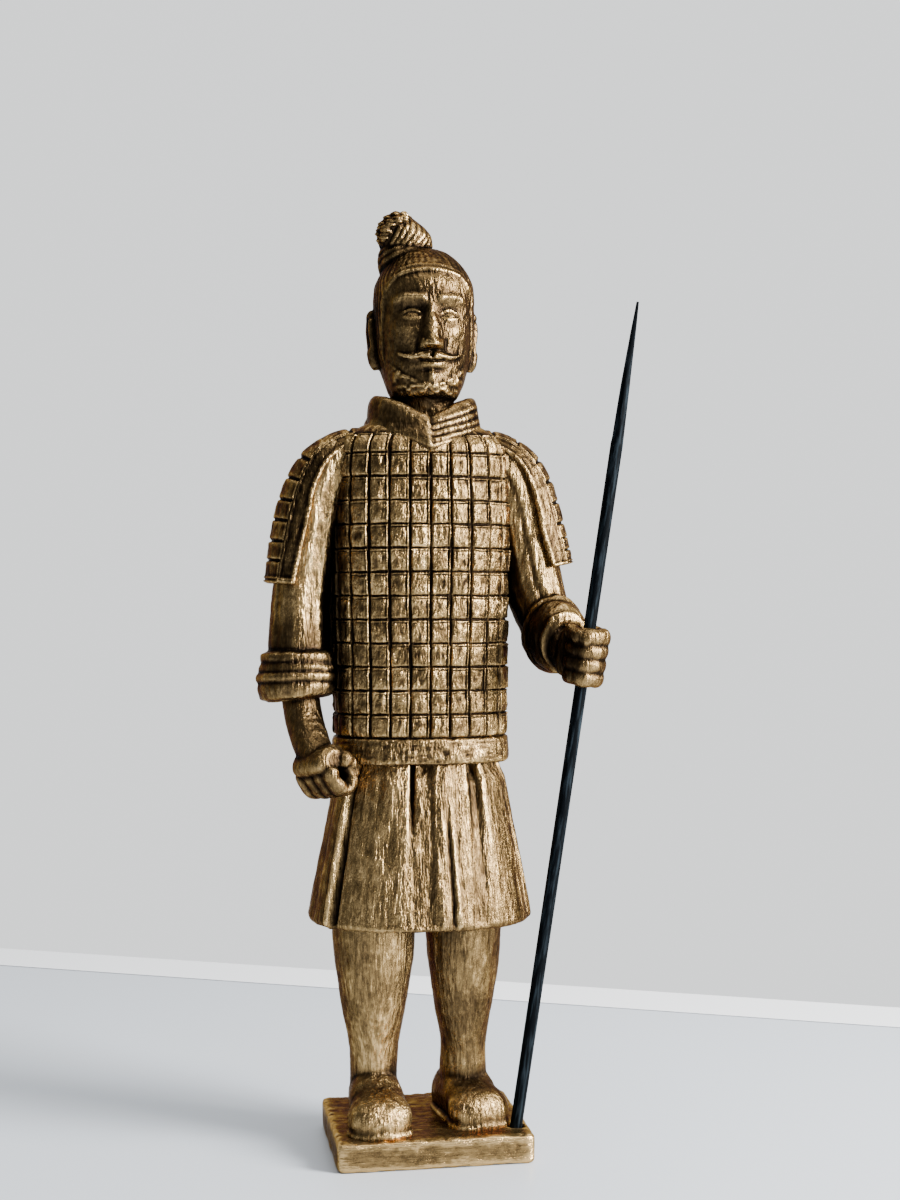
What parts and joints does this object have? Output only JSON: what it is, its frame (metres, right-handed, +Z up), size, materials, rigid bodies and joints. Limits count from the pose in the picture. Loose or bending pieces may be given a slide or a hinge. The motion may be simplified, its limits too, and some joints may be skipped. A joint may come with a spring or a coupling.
{
  "type": "warrior figurine",
  "caption": "Standing soldier figurine in plate armour on a low rectangular base, painted bronze, with a separate black stick spear held upright in one fist.",
  "frame": {"origin": "middle of the base's flat underside", "axes": "+Z up; the soldier looks along -Y, so -X is on the soldier's right and the spear stands on the +X side"},
  "size_m": [0.0865, 0.0538, 0.2325],
  "materials": {
    "bronze_paint": "cast resin, brushed bronze paint over dark brown, satin",
    "black_paint": "painted black, dull"
  },
  "bodies": {
    "root": {"warrior_and_base": "bronze_paint", "spear": "black_paint"}
  },
  "joints": []
}
